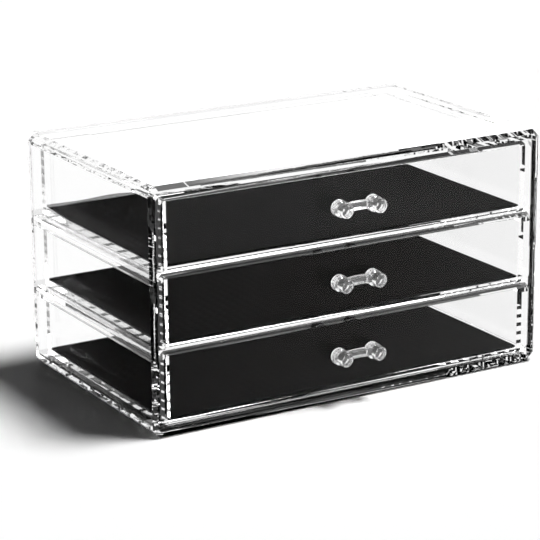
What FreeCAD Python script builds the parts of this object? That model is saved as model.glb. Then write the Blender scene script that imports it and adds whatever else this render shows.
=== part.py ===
import FreeCAD, Part
import os
import re
import Sketcher

# Clear moulded cosmetics organizer: a case with three drawers, each with a front, a handle and a pad.
# Millimetres, +Z up, +X to the right seen from the front, drawers pull out towards -Y.
# The origin lies under the middle of the whole object, handles included.

SIZES = {
    # case
    "case_width": 236.0,
    "case_depth": 140.0,
    "side_wall": 3.2,
    "top_wall": 4.8,
    "floor_wall": 5.2,
    "back_wall": 2.0,
    "long_chamfer": 4.0,
    "opening_chamfer": 1.5,
    "front_bevel": 2.2,
    "back_bevel": 1.5,
    # stacking recess in the top, an outline with square notches at its corners
    "recess_depth": 0.6,
    "recess_side": 12.0,
    "recess_front": 6.0,
    "recess_back": 13.0,
    "notch_width": 15.0,
    "notch_length": 18.0,
    # ledges inside the case and the shelves that lie on them
    "ledge_width": 5.0,
    "ledge_height": 3.0,
    "shelf_thickness": 2.5,
    "shelf_clearance": 0.3,
    # drawer fronts
    "front_height": 39.2,
    "front_thickness": 3.0,
    "front_gap": 0.6,
    "front_setback": 0.3,
    "front_corner": 3.0,
    "front_edge": 2.2,
    # drawer trays
    "tray_wall": 2.2,
    "tray_floor": 2.6,
    "tray_side_gap": 0.4,
    "tray_rear_gap": 0.5,
    "tray_head_gap": 0.5,
    "slide_gap": 0.2,
    # pads in the trays
    "liner_thickness": 1.0,
    "liner_clearance": 0.3,
    "liner_corner": 0.6,
    # handles: two turned knobs joined by an arched bridge
    "handle_reach": 10.2,
    "knob_spacing": 20.4,
    "knob_base_radius": 3.9,
    "knob_collar_radius": 4.4,
    "knob_neck_radius": 3.4,
    "knob_cap_radius": 3.9,
    "knob_face_radius": 3.3,
    "collar_start": 0.8,
    "collar_end": 4.4,
    "neck_start": 5.5,
    "neck_end": 6.7,
    "cap_start": 7.4,
    "cap_edge": 0.6,
    "peg_radius": 2.0,
    "peg_clearance": 0.15,
    "peg_end_gap": 0.4,
    "bridge_back": 2.6,
    "bridge_depth": 5.0,
    "bridge_height": 4.0,
    "bridge_arch": 1.0,
    "bridge_edge": 0.8,
    # thickness of the bond or rest line between flat pieces that lie on each other
    "seat_gap": 0.1,
}

SHEET_NAMES = {alias: f"sizes.{alias}" for alias in SIZES}
DRAWERS = ("lower", "middle", "upper")
SHELVES = {"lower": 1, "upper": 2}

# Worked-out places and sizes, written with the names above.
FRONT_PLANE = "((handle_reach + seat_gap - front_setback - case_depth) / 2)"
LEVEL_PITCH = "(front_height + front_gap)"
OPENING_HEIGHT = f"({len(DRAWERS)} * {LEVEL_PITCH} + front_gap)"
CASE_HEIGHT = f"(floor_wall + {OPENING_HEIGHT} + top_wall)"
INNER_HALF = "(case_width / 2 - side_wall)"
PANEL_BACK = "(front_setback + front_thickness)"
LEDGE_START = f"({PANEL_BACK} + front_gap)"
INNER_BACK = "(case_depth - back_wall)"
TRAY_HALF = f"({INNER_HALF} - ledge_width - tray_side_gap)"
TRAY_START = f"({PANEL_BACK} + seat_gap)"
TRAY_DEPTH = f"({INNER_BACK} - tray_rear_gap - {TRAY_START})"
TRAY_HEIGHT = f"({LEVEL_PITCH} - shelf_thickness - tray_head_gap - slide_gap)"

doc = FreeCAD.newDocument("makeup_organizer")
sheet = doc.addObject("Spreadsheet::Sheet", "sizes")
for row, (alias, value) in enumerate(SIZES.items(), start=1):
    sheet.set(f"A{row}", alias)
    sheet.set(f"B{row}", str(value))
    sheet.setAlias(f"B{row}", alias)
doc.recompute()


def linked(expression):
    """The same expression with every size named as a cell of the sheet."""
    return re.sub(r"[a-z_]+", lambda word: SHEET_NAMES.get(word[0], word[0]), expression)


def bind(item, name, expression):
    item.setExpression(name, linked(expression))


def value_of(expression):
    return float(sheet.evalExpression(linked(expression)))


def new_body(name, x="0", y="0", z="0"):
    """An empty body placed by three expressions."""
    body = doc.addObject("PartDesign::Body", name)
    body.Label = name
    for axis, expression in (("x", x), ("y", y), ("z", z)):
        bind(body, f"Placement.Base.{axis}", expression)
    return body


def origin_plane(body, role):
    return next(item for item in body.Origin.OriginFeatures if item.Role == role)


def new_sketch(body, name, plane, lift="0", shift="0"):
    """An empty sketch on one of the body's own planes, lifted along its normal and shifted along its x."""
    sketch = body.newObject("Sketcher::SketchObject", name)
    sketch.AttachmentSupport = [(origin_plane(body, plane), "")]
    sketch.MapMode = "FlatFace"
    bind(sketch, "AttachmentOffset.Base.z", lift)
    bind(sketch, "AttachmentOffset.Base.x", shift)
    return sketch


def hold_point(sketch, geometry, end, place):
    """Ties a sketch point to a pair of expressions, or to an axis where one of them is 0."""
    for kind, axis, expression in (("DistanceX", -2, place[0]), ("DistanceY", -1, place[1])):
        if expression == "0":
            sketch.addConstraint(Sketcher.Constraint("PointOnObject", geometry, end, axis))
            continue
        rule = Sketcher.Constraint(kind, geometry, end, value_of(expression))
        number = sketch.addConstraint(rule)
        bind(sketch, f"Constraints[{number}]", expression)


def vector(place):
    return FreeCAD.Vector(value_of(place[0]), value_of(place[1]), 0)


def draw_outline(sketch, corners, arcs=None):
    """A closed outline through the corners. arcs gives, for a corner's number, a point on the arc after it."""
    arcs = arcs or {}
    count = len(corners)
    edges = []
    for number, corner in enumerate(corners):
        start = vector(corner)
        end = vector(corners[(number + 1) % count])
        if number in arcs:
            edge = sketch.addGeometry(Part.Arc(start, vector(arcs[number]), end), False)
        else:
            edge = sketch.addGeometry(Part.LineSegment(start, end), False)
        forward = sketch.getPoint(edge, 1).distanceToPoint(start) < 1e-6
        edges.append((edge, 1 if forward else 2, 2 if forward else 1))
    for number, (edge, start_end, far_end) in enumerate(edges):
        following, following_start, _ = edges[(number + 1) % count]
        sketch.addConstraint(Sketcher.Constraint("Coincident", edge, far_end, following, following_start))
    for number, (edge, start_end, _) in enumerate(edges):
        hold_point(sketch, edge, start_end, corners[number])
    for number, place in arcs.items():
        point = sketch.addGeometry(Part.Point(vector(place)), True)
        hold_point(sketch, point, 1, place)
        sketch.addConstraint(Sketcher.Constraint("PointOnObject", point, 1, edges[number][0]))


def rectangle(x_low, x_high, y_low, y_high):
    return [(x_low, y_low), (x_high, y_low), (x_high, y_high), (x_low, y_high)]


def faceted_rectangle(half, low, high, facet):
    """A rectangle, symmetric about the y axis, with its four corners cut at 45 degrees."""
    inner = f"({half} - {facet})"
    return [
        (f"-1 * {inner}", low), (inner, low),
        (half, f"{low} + {facet}"), (half, f"{high} - {facet}"),
        (inner, high), (f"-1 * {inner}", high),
        (f"-1 * {half}", f"{high} - {facet}"), (f"-1 * {half}", f"{low} + {facet}"),
    ]


def pad(body, sketch, length, backwards=False):
    feature = body.newObject("PartDesign::Pad", f"{sketch.Name}_pad")
    feature.Profile = sketch
    bind(feature, "Length", length)
    feature.Reversed = backwards
    doc.recompute()
    return feature


def pocket(body, sketch, depth):
    feature = body.newObject("PartDesign::Pocket", f"{sketch.Name}_pocket")
    before = body.Shape.Volume
    feature.Profile = sketch
    bind(feature, "Length", depth)
    doc.recompute()
    if feature.Shape.Volume >= before - 1e-6:
        raise RuntimeError(f"{feature.Name} removes nothing")
    return feature


def edges_where(feature, wanted):
    """Names of the feature's edges whose two end points both satisfy the test."""
    names = []
    for number, edge in enumerate(feature.Shape.Edges, start=1):
        if all(wanted(vertex.Point) for vertex in edge.Vertexes):
            names.append(f"Edge{number}")
    return names


def upright_edges(feature):
    """Names of the feature's edges that stand along Z."""
    names = []
    for number, edge in enumerate(feature.Shape.Edges, start=1):
        along = edge.Vertexes[-1].Point - edge.Vertexes[0].Point
        if along.cross(FreeCAD.Vector(0, 0, 1)).Length < 1e-6:
            names.append(f"Edge{number}")
    return names


def chamfer(body, feature, edges, size):
    result = body.newObject("PartDesign::Chamfer", f"{feature.Name}_chamfer")
    result.Base = (feature, edges)
    bind(result, "Size", size)
    doc.recompute()
    return result


def fillet(body, feature, edges, radius):
    result = body.newObject("PartDesign::Fillet", f"{feature.Name}_fillet")
    result.Base = (feature, edges)
    bind(result, "Radius", radius)
    doc.recompute()
    return result


def mirrored(body, feature, role):
    result = body.newObject("PartDesign::Mirrored", f"{feature.Name}_mirrored")
    result.Originals = [feature]
    result.MirrorPlane = (origin_plane(body, role), [""])
    body.Tip = result
    doc.recompute()
    return result


def level(number):
    """Height of the surface that the drawer of this number slides on."""
    return f"(floor_wall + {number} * {LEVEL_PITCH})"


def make_case():
    """One moulding, open at the front, with facets along its long edges and ledges inside."""
    body = new_body("case_shell", y=FRONT_PLANE)
    outline = new_sketch(body, "case_outline", "XZ_Plane")
    draw_outline(outline, faceted_rectangle("(case_width / 2)", "0", CASE_HEIGHT, "long_chamfer"))
    block = pad(body, outline, "case_depth", backwards=True)

    front_edges = edges_where(block, lambda point: abs(point.y) < 1e-6)
    bevelled = chamfer(body, block, front_edges, "front_bevel")
    depth = value_of("case_depth")
    back_edges = edges_where(bevelled, lambda point: abs(point.y - depth) < 1e-6)
    chamfer(body, bevelled, back_edges, "back_bevel")

    opening = new_sketch(body, "case_opening", "XZ_Plane")
    top = f"(floor_wall + {OPENING_HEIGHT})"
    draw_outline(opening, faceted_rectangle(INNER_HALF, "floor_wall", top, "opening_chamfer"))
    pocket(body, opening, INNER_BACK)

    ledges = new_sketch(body, "case_ledges", "XZ_Plane", lift=f"-1 * {LEDGE_START}")
    for number in SHELVES.values():
        seat = f"({level(number)} - shelf_thickness - seat_gap)"
        root = f"({INNER_HALF} + side_wall / 2)"
        tip = f"({INNER_HALF} - ledge_width)"
        draw_outline(ledges, rectangle(tip, root, f"({seat} - ledge_height)", seat))
    right = pad(body, ledges, f"({INNER_BACK} + back_wall / 2 - {LEDGE_START})", backwards=True)
    mirrored(body, right, "YZ_Plane")

    recess = new_sketch(body, "case_recess", "XY_Plane", lift=CASE_HEIGHT)
    side = "(case_width / 2 - recess_side)"
    notch = f"({side} - notch_width)"
    front, back = "recess_front", "(case_depth - recess_back)"
    notch_front, notch_back = f"({front} + notch_length)", f"({back} - notch_length)"
    right_half = [(notch, front), (notch, notch_front), (side, notch_front)]
    right_half += [(side, notch_back), (notch, notch_back), (notch, back)]
    left_half = [(f"-1 * {x}", y) for x, y in reversed(right_half)]
    draw_outline(recess, right_half + left_half)
    pocket(body, recess, "recess_depth")
    return body


def make_shelf(name, number):
    """A plate lying on one pair of ledges."""
    body = new_body(
        name,
        y=f"{FRONT_PLANE} + {LEDGE_START}",
        z=f"{level(number)} - shelf_thickness",
    )
    half = f"({INNER_HALF} - shelf_clearance)"
    outline = new_sketch(body, f"{name}_outline", "XY_Plane")
    depth = f"({INNER_BACK} - shelf_clearance - {LEDGE_START})"
    draw_outline(outline, rectangle(f"-1 * {half}", half, "0", depth))
    pad(body, outline, "shelf_thickness")
    return body


def make_tray(name, number):
    """An open box, narrower than its front by the width of the ledges on both sides."""
    body = new_body(
        name,
        y=f"{FRONT_PLANE} + {TRAY_START}",
        z=f"{level(number)} + slide_gap",
    )
    outline = new_sketch(body, f"{name}_outline", "XY_Plane")
    draw_outline(outline, rectangle(f"-1 * {TRAY_HALF}", TRAY_HALF, "0", TRAY_DEPTH))
    pad(body, outline, TRAY_HEIGHT)

    hollow = new_sketch(body, f"{name}_hollow", "XY_Plane", lift=TRAY_HEIGHT)
    half = f"({TRAY_HALF} - tray_wall)"
    draw_outline(hollow, rectangle(f"-1 * {half}", half, "tray_wall", f"({TRAY_DEPTH} - tray_wall)"))
    pocket(body, hollow, f"({TRAY_HEIGHT} - tray_floor)")
    return body


def make_front(name, number):
    """A plate with cut corners and a bevelled face, drilled for the two pegs of its handle."""
    body = new_body(
        name,
        y=f"{FRONT_PLANE} + front_setback",
        z=f"{level(number)} + front_gap",
    )
    half = f"({INNER_HALF} - front_gap)"
    outline = new_sketch(body, f"{name}_outline", "XZ_Plane")
    draw_outline(outline, faceted_rectangle(half, "0", "front_height", "front_corner"))
    plate = pad(body, outline, "front_thickness", backwards=True)
    chamfer(body, plate, edges_where(plate, lambda point: abs(point.y) < 1e-6), "front_edge")

    holes = new_sketch(body, f"{name}_holes", "XZ_Plane")
    for side in ("-1 * ", ""):
        place = (f"{side}knob_spacing / 2", "front_height / 2")
        circle = holes.addGeometry(Part.Circle(vector(place), FreeCAD.Vector(0, 0, 1), 1), False)
        hold_point(holes, circle, 3, place)
        radius = "peg_radius + peg_clearance"
        number_of_rule = holes.addConstraint(Sketcher.Constraint("Radius", circle, value_of(radius)))
        bind(holes, f"Constraints[{number_of_rule}]", radius)
    pocket(body, holes, "front_thickness")
    return body


def make_handle(name, number):
    """Two turned knobs, each with a peg behind it, joined by a bridge that arches upwards."""
    body = new_body(
        name,
        y=f"{FRONT_PLANE} + front_setback - seat_gap",
        z=f"{level(number)} + front_gap + front_height / 2",
    )
    bridge = new_sketch(body, f"{name}_bridge", "XZ_Plane", lift="bridge_back")
    half, low, high = "knob_spacing / 2", "-1 * bridge_height / 2", "bridge_height / 2"
    corners = rectangle(f"-1 * {half}", half, low, high)
    arcs = {0: ("0", f"{low} + bridge_arch"), 2: ("0", f"{high} + bridge_arch")}
    draw_outline(bridge, corners, arcs)
    bar = pad(body, bridge, "bridge_depth")
    arches = []
    for edge_number, edge in enumerate(bar.Shape.Edges, start=1):
        if isinstance(edge.Curve, Part.Circle):
            arches.append(f"Edge{edge_number}")
    chamfer(body, bar, arches, "bridge_edge")

    profile = new_sketch(body, f"{name}_knob", "XY_Plane", shift="knob_spacing / 2")
    peg_end = "(front_thickness + seat_gap - peg_end_gap)"
    corners = [
        ("0", peg_end),
        ("peg_radius", peg_end),
        ("peg_radius", "0"),
        ("knob_base_radius", "0"),
        ("knob_collar_radius", "-1 * collar_start"),
        ("knob_collar_radius", "-1 * collar_end"),
        ("knob_neck_radius", "-1 * neck_start"),
        ("knob_neck_radius", "-1 * neck_end"),
        ("knob_cap_radius", "-1 * cap_start"),
        ("knob_cap_radius", "-1 * (handle_reach - cap_edge)"),
        ("knob_face_radius", "-1 * handle_reach"),
        ("0", "-1 * handle_reach"),
    ]
    draw_outline(profile, corners)
    knob = body.newObject("PartDesign::Revolution", f"{name}_turned")
    knob.Profile = profile
    knob.ReferenceAxis = (profile, ["V_Axis"])
    knob.Angle = 360
    doc.recompute()
    mirrored(body, knob, "YZ_Plane")
    return body


def make_liner(name, number):
    """A thin pad with round corners, lying loose on the tray floor."""
    body = new_body(
        name,
        y=f"{FRONT_PLANE} + {TRAY_START} + tray_wall + liner_clearance",
        z=f"{level(number)} + slide_gap + tray_floor + seat_gap",
    )
    half = f"({TRAY_HALF} - tray_wall - liner_clearance)"
    depth = f"({TRAY_DEPTH} - 2 * tray_wall - 2 * liner_clearance)"
    outline = new_sketch(body, f"{name}_outline", "XY_Plane")
    draw_outline(outline, rectangle(f"-1 * {half}", half, "0", depth))
    sheet_pad = pad(body, outline, "liner_thickness")
    fillet(body, sheet_pad, upright_edges(sheet_pad), "liner_corner")
    return body


def check(bodies):
    """Stops if anything in the document failed or a piece is not one sound solid."""
    doc.recompute()
    for item in doc.Objects:
        if "Invalid" in item.State or "Error" in item.State:
            raise RuntimeError(f"{item.Name} failed: {item.State}")
    for body in bodies:
        if body.Shape.isNull() or not body.Shape.isValid():
            raise RuntimeError(f"{body.Label} has no valid shape")
        if len(body.Shape.Solids) != 1:
            raise RuntimeError(f"{body.Label} is not one solid")


pieces = [make_case()]
for shelf, shelf_level in SHELVES.items():
    pieces.append(make_shelf(f"{shelf}_shelf", shelf_level))
for drawer_level, drawer in enumerate(DRAWERS):
    pieces.append(make_tray(f"{drawer}_tray", drawer_level))
    pieces.append(make_front(f"{drawer}_front", drawer_level))
    pieces.append(make_handle(f"{drawer}_handle", drawer_level))
    pieces.append(make_liner(f"{drawer}_liner", drawer_level))

check(pieces)
os.makedirs("parts", exist_ok=True)
for piece in pieces:
    piece.Shape.exportStep(f"parts/{piece.Label}.step")
    box = piece.Shape.BoundBox
    print(f"{piece.Label}: {piece.Shape.Volume / 1000:.1f} cm3,"
          f" x {box.XMin:.1f} to {box.XMax:.1f},"
          f" y {box.YMin:.1f} to {box.YMax:.1f},"
          f" z {box.ZMin:.1f} to {box.ZMax:.1f}")
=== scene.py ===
import math

import bmesh
import bpy
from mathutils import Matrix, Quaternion, Vector, noise


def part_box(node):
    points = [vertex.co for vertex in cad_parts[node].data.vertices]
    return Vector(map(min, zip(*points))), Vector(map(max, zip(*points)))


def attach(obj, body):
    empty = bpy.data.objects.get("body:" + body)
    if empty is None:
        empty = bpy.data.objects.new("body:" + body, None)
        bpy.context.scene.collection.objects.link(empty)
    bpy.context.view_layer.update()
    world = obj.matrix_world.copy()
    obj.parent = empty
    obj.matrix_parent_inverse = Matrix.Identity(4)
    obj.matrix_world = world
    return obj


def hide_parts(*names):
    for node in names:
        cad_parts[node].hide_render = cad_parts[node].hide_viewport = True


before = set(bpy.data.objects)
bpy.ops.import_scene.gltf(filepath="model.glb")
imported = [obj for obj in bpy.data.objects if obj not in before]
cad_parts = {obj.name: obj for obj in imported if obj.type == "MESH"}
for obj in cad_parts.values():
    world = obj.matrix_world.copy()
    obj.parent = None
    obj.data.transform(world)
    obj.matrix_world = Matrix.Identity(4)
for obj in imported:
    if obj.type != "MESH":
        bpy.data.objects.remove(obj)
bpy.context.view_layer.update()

# Clear moulded organizer with three drawers on a white studio floor. Metres, +Z up, front towards -Y.

DRAWERS = ("lower", "middle", "upper")

# Camera
CAMERA_AZIMUTH = math.radians(-30.44)
CAMERA_ELEVATION = math.radians(16.56)
CAMERA_ROLL = math.radians(-0.49)
CAMERA_DISTANCE = 1.265
CAMERA_TARGET = Vector((-0.0093, 0.0050, 0.0539))
CAMERA_LENS = 155.9
CAMERA_SENSOR = 36.0
CAMERA_CLIP = (0.05, 50.0)

# Studio
FLOOR_HALF = 4.0
FLOOR_DROP = 0.0003
SHADOW_THROUGH_GLASS = 0.06
AMBIENT_LEVEL = 0.04
# The sine of the elevation at which the white walls end and the ceiling starts
BACKDROP_TOP = 0.6
CEILING_LEVEL = 0.12
# The key level is what a white surface that lies flat gets from the key light
KEY_AZIMUTH = math.radians(65)
KEY_ELEVATION = math.radians(68)
KEY_SPREAD = math.radians(18)
KEY_LEVEL = 0.96
# The x and z of each panel's lower left and upper right corner, and its brightness
PANEL_Y = 2.6
PANELS = (((0.88, 0.87), (2.38, 1.27), 2.8), ((0.60, 0.70), (2.60, 0.87), 0.2))

# Black and grey cards around the object, which paint dark and grey reflections, dark edge lines and shadow
# into the clear pieces. A card shows only in light that the clear pieces mirrored, or let through, a number
# of times.
# A pair of counts gives the fewest and the most times.
MANY = 1000
CARD_GAP = 0.0001
MIRRORED = "Glossy Depth"
LET_THROUGH = "Transmission Depth"

# Cards on the floor: under the case black ones paint its shadow, as seen through its base and in its walls;
# where its walls mirror the floor over the liners one paints a dark reflection; to the right of the case and
# behind the front end of its right wall they paint dark edge lines
LINER_MIRRORINGS = (1, 1)
BASE_MIRRORINGS = (0, 0)
BASE_INSET_X = 0.0040
BASE_INSET_Y = 0.0019
UNDER_MIRRORINGS = (1, 16)
RIGHT_MIRRORINGS = (1, MANY)
RIGHT_REACH = 3.0
SIDE_CROSSINGS = (2, 2)
SIDE_SHIFTS = (-0.0010, 0.0048)
SIDE_REACH = 0.8

# The x and y ranges of the other cards on the floor, their counts, and their level from black to white. They
# paint dark and grey reflections in the edges of the clear pieces.
FLOOR_CARDS = (
    ((-0.030, 0.155), (0.080, 0.160), (6, MANY), 0.0),
    ((-0.060, -0.030), (0.080, 0.100), (12, 13), 0.0),
    ((0.150, 0.200), (0.0, 0.050), (4, 7), 0.0),
    ((0.118, 0.150), (-0.050, 0.050), (12, 31), 0.0),
    ((0.150, 0.220), (0.470, 0.500), (6, 7), 0.0),
    ((-0.060, 0.0), (0.160, 0.200), (16, 17), 0.18),
    ((0.0, 0.110), (0.055, 0.075), (18, 19), 0.2),
)

# A grey card on the floor behind the case that fades to clear towards the right: a painted grey reflection
GRADED_X = (0.0, 0.120)
GRADED_Y = (0.180, 0.200)
GRADED_FADE = (0.035, 0.115)
GRADED_MIRRORINGS = (16, 17)
GRADED_LEVEL = 0.18

# The azimuths and elevations of the far cards in degrees, and their counts. The far cards paint dark lines
# in the edges of the clear pieces; the last one paints shade over the key light's glints in light mirrored
# 22 to 27 times.
FAR_DISTANCE = 2.5
FAR_CARDS = (
    ((118, 133), (10, 27), (12, MANY)),
    ((140, 160), (13, 19), (16, 19)),
    ((200, 220), (14, 24), (24, 27)),
    ((20, 40), (14, 24), (24, 60)),
    ((144, 153), (14, 20), (9, 9)),
    ((64, 86), (54, 68), (22, 27)),
)

# Upright cards close behind the case: at the ends of its side walls and floor, between them, and at a seam.
# They paint dark edge lines where light that runs inside the walls comes out at the back.
WALL_END = 0.0034
FLOOR_END = 0.0053
SEAM_Z = (0.0455, 0.0475)
LEFT_END_MIRRORINGS = (8, MANY)
RIGHT_END_MIRRORINGS = (3, 32)
FLOOR_END_MIRRORINGS = (1, MANY)
BACK_MIRRORINGS = (26, MANY)
SEAM_MIRRORINGS = (11, 11)

# Path lengths in the clear walls
LIGHT_BOUNCES = 240
MIRROR_BOUNCES = 200

# Clear plastic. A noise is its scale per metre and its detail, and limits are where it starts and is full.
ACRYLIC_IOR = 1.49
ACRYLIC_COLOUR = 0.998
CASE_CLEARNESS = 1.0
HANDLE_CLEARNESS = 0.93
CASE_MIRROR = 0.0
HANDLE_MIRROR = 1.0
MOULDING_WAVES = (22.0, 1.0)
MOULDING_WAVE_HEIGHT = 3.0e-5
POLISH_WAVES = (180.0, 2.0)
POLISH_WAVE_HEIGHT = 1.5e-6
SMUDGES = (30.0, 4.0)
SMUDGE_LIMITS = (0.5, 0.75)
SMUDGE_COLOUR = 0.988
SMUDGE_ROUGHNESS = 0.02
SCRATCHES = (40.0, 2.0)
SCRATCH_SQUEEZE = (1.0, 14.0, 30.0)
SCRATCH_LIMITS = (0.72, 0.78)
SCRATCH_ROUGHNESS = 0.1

# Liners
LINER_CELLS_X = 84
LINER_CELLS_Y = 50
LINER_CORNER = 0.0006
LINER_WAVES = 25.0
LINER_WAVE_HEIGHT = 0.0003
CURLED_LINER = "upper"
CURL_DEPTH = 0.030
CURL_WIDTH = 0.040
CURL_HEIGHT = 0.0013
BULGE_X = -0.068
BULGE_WIDTH = 0.016
BULGE_HEIGHT = 0.0018

# Felt of the liners. The weave is a wave, and its step is the length of one radian of it.
FELT_DARK = 0.004
FELT_LIGHT = 0.010
FELT_ROUGHNESS = 0.9
FELT_SHINE = 0.1
RUBBING = (60.0, 6.0)
RUB_SQUEEZE = (1.0, 5.0, 1.0)
RUB_LIMITS = (0.35, 0.75)
RUB_LEVELS = (0.3, 1.0)
GRAIN = (1400.0, 2.0)
LINT_SCALE = 240.0
LINT_SIZE = 0.09
LINT_RARITY = 0.93
LINT_COLOUR = 0.09
WEAVE_STEP = 0.0009
WEAVE_DEPTH = WEAVE_STEP / 10
# Radians per metre of a wave texture whose scale is 1
WAVE_RADIANS = 20.0


def direction(azimuth, elevation):
    """Unit vector from the object towards a point seen at that azimuth and elevation."""
    flat = math.cos(elevation)
    return Vector((math.sin(azimuth) * flat, -math.cos(azimuth) * flat, math.sin(elevation)))


def link(obj):
    bpy.context.scene.collection.objects.link(obj)
    return obj


def grey(level):
    return (level, level, level, 1.0)


def camera_place():
    return CAMERA_TARGET + direction(CAMERA_AZIMUTH, CAMERA_ELEVATION) * CAMERA_DISTANCE


def make_camera():
    data = bpy.data.cameras.new("camera")
    data.lens = CAMERA_LENS
    data.sensor_width = CAMERA_SENSOR
    data.clip_start, data.clip_end = CAMERA_CLIP
    camera = link(bpy.data.objects.new("camera", data))
    camera.location = camera_place()
    camera.rotation_mode = "QUATERNION"
    back = direction(CAMERA_AZIMUTH, CAMERA_ELEVATION)
    roll = Quaternion((0.0, 0.0, 1.0), CAMERA_ROLL)
    camera.rotation_quaternion = (-back).to_track_quat("-Z", "Y") @ roll
    bpy.context.scene.camera = camera


def emptied_tree(owner):
    """The node tree of a material or a world, without any nodes."""
    owner.use_nodes = True
    tree = owner.node_tree
    tree.nodes.clear()
    return tree


def feed(tree, socket, value):
    """Joins a socket to another one, or sets it to a plain value."""
    if isinstance(value, bpy.types.NodeSocket):
        tree.links.new(value, socket)
    else:
        socket.default_value = value


def add(tree, kind, **inputs):
    """A node with its inputs given by name, with _ for a space, as sockets or plain values."""
    node = tree.nodes.new(kind)
    for name, value in inputs.items():
        feed(tree, node.inputs[name.replace("_", " ")], value)
    return node


def math_node(tree, operation, *values):
    """The result of a math node, with sockets or plain numbers as its inputs."""
    node = tree.nodes.new("ShaderNodeMath")
    node.operation = operation
    for socket, value in zip(node.inputs, values):
        feed(tree, socket, value)
    return node.outputs[0]


def ramp(tree, value, limits, levels):
    """A smooth step of a value from one level to another between two limits."""
    low, high = limits
    first, last = levels
    node = add(
        tree, "ShaderNodeMapRange", Value=value,
        From_Min=low, From_Max=high,
        To_Min=first, To_Max=last,
    )
    node.interpolation_type = "SMOOTHSTEP"
    return node.outputs["Result"]


def mix_numbers(tree, factor, first, second):
    """first where the factor is 0, second where it is 1."""
    other = math_node(tree, "SUBTRACT", 1.0, factor)
    kept = math_node(tree, "MULTIPLY", other, first)
    return math_node(tree, "ADD", kept, math_node(tree, "MULTIPLY", factor, second))


def mix_colours(tree, factor, first, second):
    """first where the factor is 0, second where it is 1, each a socket or a colour."""
    node = add(tree, "ShaderNodeMix", Factor=factor)
    node.data_type = "RGBA"
    pair = [socket for socket in node.inputs if socket.type == "RGBA"]
    for socket, colour in zip(pair, (first, second)):
        feed(tree, socket, colour)
    return next(socket for socket in node.outputs if socket.type == "RGBA")


def mix_shaders(tree, factor, first, second):
    mix = tree.nodes.new("ShaderNodeMixShader")
    for socket, value in zip(mix.inputs, (factor, first.outputs[0], second.outputs[0])):
        feed(tree, socket, value)
    return mix


def axis_of(tree, coordinates, axis):
    """One axis of a texture coordinate."""
    place = tree.nodes.new("ShaderNodeTexCoord")
    return add(tree, "ShaderNodeSeparateXYZ", Vector=place.outputs[coordinates]).outputs[axis]


def clear_path(tree, path):
    """1 for a ray that came from the camera by mirror or clear surfaces alone, otherwise 0."""
    seen = math_node(tree, "MAXIMUM", path.outputs["Is Glossy Ray"], path.outputs["Is Transmission Ray"])
    unscattered = math_node(tree, "LESS_THAN", path.outputs["Diffuse Depth"], 1.0)
    return math_node(tree, "MULTIPLY", seen, unscattered)


def make_world():
    """White walls under a dark ceiling for the eye, and dim light from everywhere for the object."""
    world = bpy.data.worlds.new("studio")
    bpy.context.scene.world = world
    tree = emptied_tree(world)
    path = tree.nodes.new("ShaderNodeLightPath")
    wall = math_node(tree, "LESS_THAN", axis_of(tree, "Generated", "Z"), BACKDROP_TOP)
    level = mix_numbers(tree, wall, CEILING_LEVEL, 1.0)
    ambient = add(tree, "ShaderNodeBackground", Color=grey(1.0), Strength=AMBIENT_LEVEL)
    seen = add(tree, "ShaderNodeBackground", Color=grey(1.0), Strength=level)
    direct = math_node(tree, "MAXIMUM", clear_path(tree, path), path.outputs["Is Camera Ray"])
    shown = mix_shaders(tree, direct, ambient, seen)
    add(tree, "ShaderNodeOutputWorld", Surface=shown.outputs[0])


def floor_material():
    """White paper that keeps the shadow. Clear and mirror surfaces show it nearly without the shadow."""
    material = bpy.data.materials.new("floor_white")
    tree = emptied_tree(material)
    path = tree.nodes.new("ShaderNodeLightPath")
    paper = add(tree, "ShaderNodeBsdfDiffuse", Color=grey(1.0))
    white = add(tree, "ShaderNodeEmission", Color=grey(1.0), Strength=1.0)
    factor = math_node(tree, "MULTIPLY", clear_path(tree, path), 1.0 - SHADOW_THROUGH_GLASS)
    shown = mix_shaders(tree, factor, paper, white)
    add(tree, "ShaderNodeOutputMaterial", Surface=shown.outputs[0])
    return material


def card_material(name, counts, counted, level, fade):
    """Painted reflection or shadow: a plain level for light mirrored or let through so many times, else
    clear.
    """
    fewest, most = counts
    material = bpy.data.materials.new(name)
    tree = emptied_tree(material)
    path = tree.nodes.new("ShaderNodeLightPath")
    clear = tree.nodes.new("ShaderNodeBsdfTransparent")
    card = add(tree, "ShaderNodeEmission", Strength=level)
    enough = math_node(tree, "GREATER_THAN", path.outputs[counted], fewest - 0.5)
    no_more = math_node(tree, "LESS_THAN", path.outputs[counted], most + 0.5)
    factor = math_node(tree, "MULTIPLY", enough, no_more)
    if fade is not None:
        left_share = ramp(tree, axis_of(tree, "Object", "X"), fade, (1.0, 0.0))
        factor = math_node(tree, "MULTIPLY", factor, left_share)
    shown = mix_shaders(tree, factor, clear, card)
    add(tree, "ShaderNodeOutputMaterial", Surface=shown.outputs[0])
    return material


def make_stage(name, outlines, material):
    """Flat faces with the given outlines that are not part of the object."""
    points = []
    faces = []
    for outline in outlines:
        faces.append(range(len(points), len(points) + len(outline)))
        points += outline
    mesh = bpy.data.meshes.new(name)
    mesh.from_pydata(points, [], faces)
    mesh.materials.append(material)
    link(bpy.data.objects.new(name, mesh))


def make_card(name, outlines, counts, counted=MIRRORED, level=0.0, fade=None):
    make_stage(name, outlines, card_material(name, counts, counted, level, fade))


def level_outline(x_range, y_range, drop=CARD_GAP):
    """A level rectangle below the plane on which the object stands."""
    (left, right), (front, back) = x_range, y_range
    corners = ((left, front), (right, front), (right, back), (left, back))
    return [Vector((x, y, -drop)) for x, y in corners]


def upright_outline(x_range, y, z_range):
    """An upright rectangle that faces the front."""
    (left, right), (bottom, top) = x_range, z_range
    corners = ((left, bottom), (right, bottom), (right, top), (left, top))
    return [Vector((x, y, z)) for x, z in corners]


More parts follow.
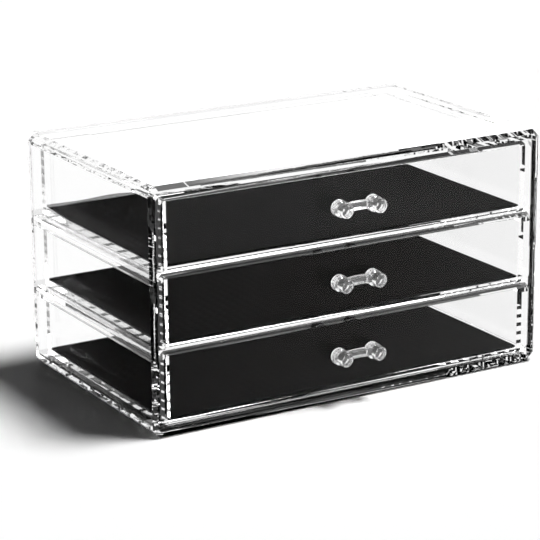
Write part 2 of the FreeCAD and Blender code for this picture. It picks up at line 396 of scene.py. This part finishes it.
def make_floor():
    span = (-FLOOR_HALF, FLOOR_HALF)
    make_stage("floor", [level_outline(span, span, FLOOR_DROP)], floor_material())


def mirrored_on_floor(point, plane):
    """Where an eye that looks at the point sees the floor mirrored in the left wall in front of the point."""
    eye = camera_place()
    share = (plane - eye.x) / (point.x - eye.x)
    on_wall = eye.lerp(point, share)
    image = Vector((2 * plane - eye.x, eye.y, eye.z))
    return image.lerp(on_wall, image.z / (image.z - on_wall.z))


def liner_outlines():
    """The outlines on the floor that the left walls mirror over each liner, where a card paints a dark
    reflection.
    """
    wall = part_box("case_shell")[0].x
    outlines = []
    for drawer in DRAWERS:
        low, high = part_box(f"{drawer}_liner")
        corners = [(low.x, low.y), (high.x, low.y), (high.x, high.y), (low.x, high.y)]
        for plane in (wall, low.x):
            spots = [mirrored_on_floor(Vector((x, y, high.z)), plane - CARD_GAP) for x, y in corners]
            outlines.append([Vector((spot.x, spot.y, -CARD_GAP)) for spot in spots])
    return outlines


def away_from_eye(point):
    """The level direction in which the eye sees a point."""
    eye = camera_place()
    return Vector((point.x - eye.x, point.y - eye.y, 0.0)).normalized()


def right_outline(start, aim):
    """The floor to the right of a line that starts at a point and runs as the eye sees another point."""
    first = Vector((start.x, start.y, -CARD_GAP))
    far = first + away_from_eye(aim) * RIGHT_REACH
    right = start.x + RIGHT_REACH
    return [first, Vector((right, start.y, -CARD_GAP)), Vector((right, far.y, -CARD_GAP)), far]


def side_outline(x, y):
    """The strip of floor behind the front end of the right wall, as the eye sees it."""
    left, right = (Vector((x + shift, y, -CARD_GAP)) for shift in SIDE_SHIFTS)
    far_left, far_right = (near + away_from_eye(near) * SIDE_REACH for near in (left, right))
    return [left, right, far_right, far_left]


def far_outline(azimuths, elevations):
    """An upright outline far from the object."""
    (first, last), (low, high) = azimuths, elevations
    corners = ((first, low), (last, low), (last, high), (first, high))
    return [direction(math.radians(a), math.radians(e)) * FAR_DISTANCE for a, e in corners]


def make_floor_cards():
    low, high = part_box("case_shell")
    base_x = (low.x + BASE_INSET_X, high.x - BASE_INSET_X)
    base_y = (low.y + BASE_INSET_Y, high.y - BASE_INSET_Y)
    under = level_outline((low.x, high.x), (low.y, high.y))
    # Painted dark reflection of the floor over the liners, seen in the left walls
    make_card("card_liners", liner_outlines(), LINER_MIRRORINGS)
    # Painted shadow under the case, seen through its base
    make_card("card_base", [level_outline(base_x, base_y, 2 * CARD_GAP)], BASE_MIRRORINGS)
    # Painted shadow under the case, seen mirrored in its walls
    make_card("card_under", [under], UNDER_MIRRORINGS)
    # Painted dark and grey reflections in the edges of the clear pieces
    for index, (x_range, y_range, counts, level) in enumerate(FLOOR_CARDS):
        make_card(f"card_floor_{index}", [level_outline(x_range, y_range)], counts, level=level)
    # Painted grey reflection that fades towards the right
    graded = level_outline(GRADED_X, GRADED_Y)
    make_card("card_graded", [graded], GRADED_MIRRORINGS, level=GRADED_LEVEL, fade=GRADED_FADE)
    # Painted dark edge lines where the right wall mirrors the floor
    right = right_outline(Vector((high.x - WALL_END, high.y)), Vector((high.x, low.y)))
    make_card("card_right", [right], RIGHT_MIRRORINGS)
    # Painted dark line behind the front end of the right wall, in light let through two faces
    side = side_outline(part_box("upper_front")[1].x, low.y)
    make_card("card_side", [side], SIDE_CROSSINGS, LET_THROUGH)


def make_far_cards():
    # Painted dark lines in the edges of the clear pieces, and shade over the key light's glints
    for index, (azimuths, elevations, counts) in enumerate(FAR_CARDS):
        make_card(f"card_far_{index}", [far_outline(azimuths, elevations)], counts)


def make_back_cards():
    low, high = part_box("case_shell")
    behind = high.y + CARD_GAP
    left_in = low.x + WALL_END
    right_in = high.x - WALL_END
    floor_top = low.z + FLOOR_END
    above = (floor_top, high.z)
    left_end = upright_outline((low.x, left_in), behind, above)
    right_end = upright_outline((right_in, high.x), behind, above)
    floor_end = upright_outline((low.x, high.x), behind, (low.z, floor_top))
    back = upright_outline((left_in, right_in), behind, above)
    seam = upright_outline((left_in, right_in), behind + CARD_GAP, SEAM_Z)
    # Painted dark edge lines at the back of the case
    make_card("card_left_end", [left_end], LEFT_END_MIRRORINGS)
    make_card("card_right_end", [right_end], RIGHT_END_MIRRORINGS)
    make_card("card_floor_end", [floor_end], FLOOR_END_MIRRORINGS)
    make_card("card_back", [back], BACK_MIRRORINGS)
    make_card("card_seam", [seam], SEAM_MIRRORINGS)


def make_lamp(data, location, source):
    """A lamp whose light comes from the given direction."""
    lamp = link(bpy.data.objects.new(data.name, data))
    lamp.location = location
    lamp.rotation_mode = "QUATERNION"
    lamp.rotation_quaternion = source.to_track_quat("Z", "Y")


def make_key_light():
    """A soft light from above on the right."""
    source = direction(KEY_AZIMUTH, KEY_ELEVATION)
    data = bpy.data.lights.new("key", "SUN")
    data.angle = KEY_SPREAD
    data.energy = KEY_LEVEL * math.pi / source.z
    make_lamp(data, source, source)


def make_panels():
    """Soft panels behind the object, which its top mirrors: a bright one and, below it, a dim one."""
    for (left, bottom), (right, top), level in PANELS:
        data = bpy.data.lights.new("panel", "AREA")
        data.shape = "RECTANGLE"
        data.size, data.size_y = right - left, top - bottom
        data.energy = level * math.pi * data.size * data.size_y
        centre = Vector(((left + right) / 2, PANEL_Y, (bottom + top) / 2))
        make_lamp(data, centre, Vector((0.0, 1.0, 0.0)))


def noise_at(tree, place, scale, detail, squeeze=(1.0, 1.0, 1.0)):
    """Noise in the object's own metres, squeezed along each axis so many times."""
    mapping = add(tree, "ShaderNodeMapping", Vector=place, Scale=squeeze)
    node = add(tree, "ShaderNodeTexNoise", Vector=mapping.outputs[0], Scale=scale, Detail=detail)
    return node.outputs["Fac"]


def bump(tree, height, distance, **under):
    """A bumped normal, on top of another one where Normal gives it."""
    node = add(tree, "ShaderNodeBump", Strength=1.0, Distance=distance, Height=height, **under)
    return node.outputs["Normal"]


def acrylic(name, clearness, mirror):
    """Clear polished plastic with the long waves of the moulding, smudges and a few fine scratches.

    mirror is the strength of what a face mirrors straight ahead. At a flat angle it mirrors fully.
    """
    material = bpy.data.materials.new(name)
    tree = emptied_tree(material)
    place = tree.nodes.new("ShaderNodeTexCoord").outputs["Object"]
    smudges = ramp(tree, noise_at(tree, place, *SMUDGES), SMUDGE_LIMITS, (0.0, 1.0))
    scratch_noise = noise_at(tree, place, *SCRATCHES, SCRATCH_SQUEEZE)
    scratches = ramp(tree, scratch_noise, SCRATCH_LIMITS, (0.0, SCRATCH_ROUGHNESS))
    dull = math_node(tree, "MULTIPLY", smudges, SMUDGE_ROUGHNESS)
    waves = bump(tree, noise_at(tree, place, *MOULDING_WAVES), MOULDING_WAVE_HEIGHT)
    surface = bump(tree, noise_at(tree, place, *POLISH_WAVES), POLISH_WAVE_HEIGHT, Normal=waves)
    shader = add(
        tree, "ShaderNodeBsdfPrincipled", IOR=ACRYLIC_IOR,
        Transmission_Weight=clearness,
        Specular_Tint=grey(mirror),
        Base_Color=mix_colours(tree, smudges, grey(ACRYLIC_COLOUR), grey(SMUDGE_COLOUR)),
        Roughness=math_node(tree, "ADD", dull, scratches),
        Normal=surface,
    )
    add(tree, "ShaderNodeOutputMaterial", Surface=shader.outputs[0])
    return material


def lint_mask(tree, place):
    """1 on a few small specks, otherwise 0."""
    specks = add(tree, "ShaderNodeTexVoronoi", Vector=place, Scale=LINT_SCALE)
    tone = add(tree, "ShaderNodeSeparateColor", Color=specks.outputs["Color"])
    small = math_node(tree, "LESS_THAN", specks.outputs["Distance"], LINT_SIZE)
    few = math_node(tree, "GREATER_THAN", tone.outputs[0], LINT_RARITY)
    return math_node(tree, "MULTIPLY", small, few)


def weave_height(tree, place):
    """Threads along both axes."""
    threads = []
    for axis in ("X", "Y"):
        wave = add(tree, "ShaderNodeTexWave", Vector=place, Scale=1.0 / (WEAVE_STEP * WAVE_RADIANS))
        wave.bands_direction = axis
        threads.append(wave.outputs["Fac"])
    return math_node(tree, "MAXIMUM", *threads)


def felt(name):
    """Matte black felt with a weave, faint rub marks and specks of lint."""
    material = bpy.data.materials.new(name)
    tree = emptied_tree(material)
    place = tree.nodes.new("ShaderNodeTexCoord").outputs["Object"]
    grain = noise_at(tree, place, *GRAIN)
    rubbed = ramp(tree, noise_at(tree, place, *RUBBING, RUB_SQUEEZE), RUB_LIMITS, RUB_LEVELS)
    shade = math_node(tree, "MULTIPLY", rubbed, grain)
    cloth = mix_colours(tree, shade, grey(FELT_DARK), grey(FELT_LIGHT))
    fuzz = math_node(tree, "ADD", weave_height(tree, place), grain)
    shader = add(
        tree, "ShaderNodeBsdfPrincipled", Roughness=FELT_ROUGHNESS,
        Specular_IOR_Level=FELT_SHINE,
        Base_Color=mix_colours(tree, lint_mask(tree, place), cloth, grey(LINT_COLOUR)),
        Normal=bump(tree, fuzz, WEAVE_DEPTH),
    )
    add(tree, "ShaderNodeOutputMaterial", Surface=shader.outputs[0])
    return material


def within(value, limit):
    return max(-limit, min(limit, value))


def rounded(x, y, half, radius):
    """The point moved onto a rectangle with round corners where it lies outside one."""
    inner = Vector((within(x, half.x - radius), within(y, half.y - radius)))
    out = Vector((x, y)) - inner
    if out.length > radius:
        out = out.normalized() * radius
    return inner + out


def smooth_step(value, low, high):
    share = max(0.0, min(1.0, (value - low) / (high - low)))
    return share * share * (3 - 2 * share)


def liner_lift(drawer, x, y, half):
    """How far a pad stands off its floor there: slightly wavy, and the upper one curls at its back edge."""
    seed = DRAWERS.index(drawer)
    lift = LINER_WAVE_HEIGHT * (0.5 + 0.5 * noise.noise((x * LINER_WAVES, y * LINER_WAVES, seed)))
    if drawer == CURLED_LINER:
        curl = CURL_HEIGHT * smooth_step(-x, half.x - CURL_WIDTH, half.x)
        bulge = BULGE_HEIGHT * math.exp(-((x - BULGE_X) / BULGE_WIDTH) ** 2)
        lift += (curl + bulge) * smooth_step(y, half.y - CURL_DEPTH, half.y)
    return lift


def liner_mesh(drawer, centre, half, top):
    """The top face of a pad as a grid of cells."""
    form = bmesh.new()
    rows = []
    for j in range(LINER_CELLS_Y + 1):
        row = []
        for i in range(LINER_CELLS_X + 1):
            x = half.x * (2 * i / LINER_CELLS_X - 1)
            y = half.y * (2 * j / LINER_CELLS_Y - 1)
            spot = rounded(x, y, half, LINER_CORNER)
            height = top + liner_lift(drawer, spot.x, spot.y, half)
            row.append(form.verts.new((centre.x + spot.x, centre.y + spot.y, height)))
        rows.append(row)
    for near, far in zip(rows, rows[1:]):
        for i in range(LINER_CELLS_X):
            form.faces.new((near[i], near[i + 1], far[i + 1], far[i]))
    mesh = bpy.data.meshes.new(f"{drawer}_felt_liner")
    form.to_mesh(mesh)
    form.free()
    return mesh


def make_liner(drawer, material):
    """A loose felt pad on the floor of a drawer's tray."""
    node = f"{drawer}_liner"
    low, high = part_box(node)
    half = (high - low) / 2
    mesh = liner_mesh(drawer, (low + high) / 2, half, high.z)
    mesh.materials.append(material)
    liner = link(bpy.data.objects.new(f"{drawer}_felt_liner", mesh))
    thick = liner.modifiers.new("thickness", "SOLIDIFY")
    thick.thickness = high.z - low.z
    thick.offset = -1.0
    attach(liner, f"{drawer}_drawer")
    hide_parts(node)


def dress_nodes():
    """Clear plastic on every CAD piece, a whiter one on the handles."""
    clear = acrylic("clear_acrylic", CASE_CLEARNESS, CASE_MIRROR)
    bright = acrylic("handle_acrylic", HANDLE_CLEARNESS, HANDLE_MIRROR)
    for name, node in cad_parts.items():
        node.data.materials.clear()
        node.data.materials.append(bright if name.endswith("_handle") else clear)


def set_paths():
    """Lets light follow the long ways inside the clear walls."""
    cycles = bpy.context.scene.cycles
    cycles.max_bounces = LIGHT_BOUNCES
    cycles.transmission_bounces = LIGHT_BOUNCES
    cycles.glossy_bounces = MIRROR_BOUNCES


bpy.context.scene.view_settings.view_transform = "Standard"
set_paths()
make_camera()
make_world()
make_floor()
make_floor_cards()
make_far_cards()
make_back_cards()
make_key_light()
make_panels()
dress_nodes()
pad_black = felt("black_felt")
for drawer in DRAWERS:
    make_liner(drawer, pad_black)
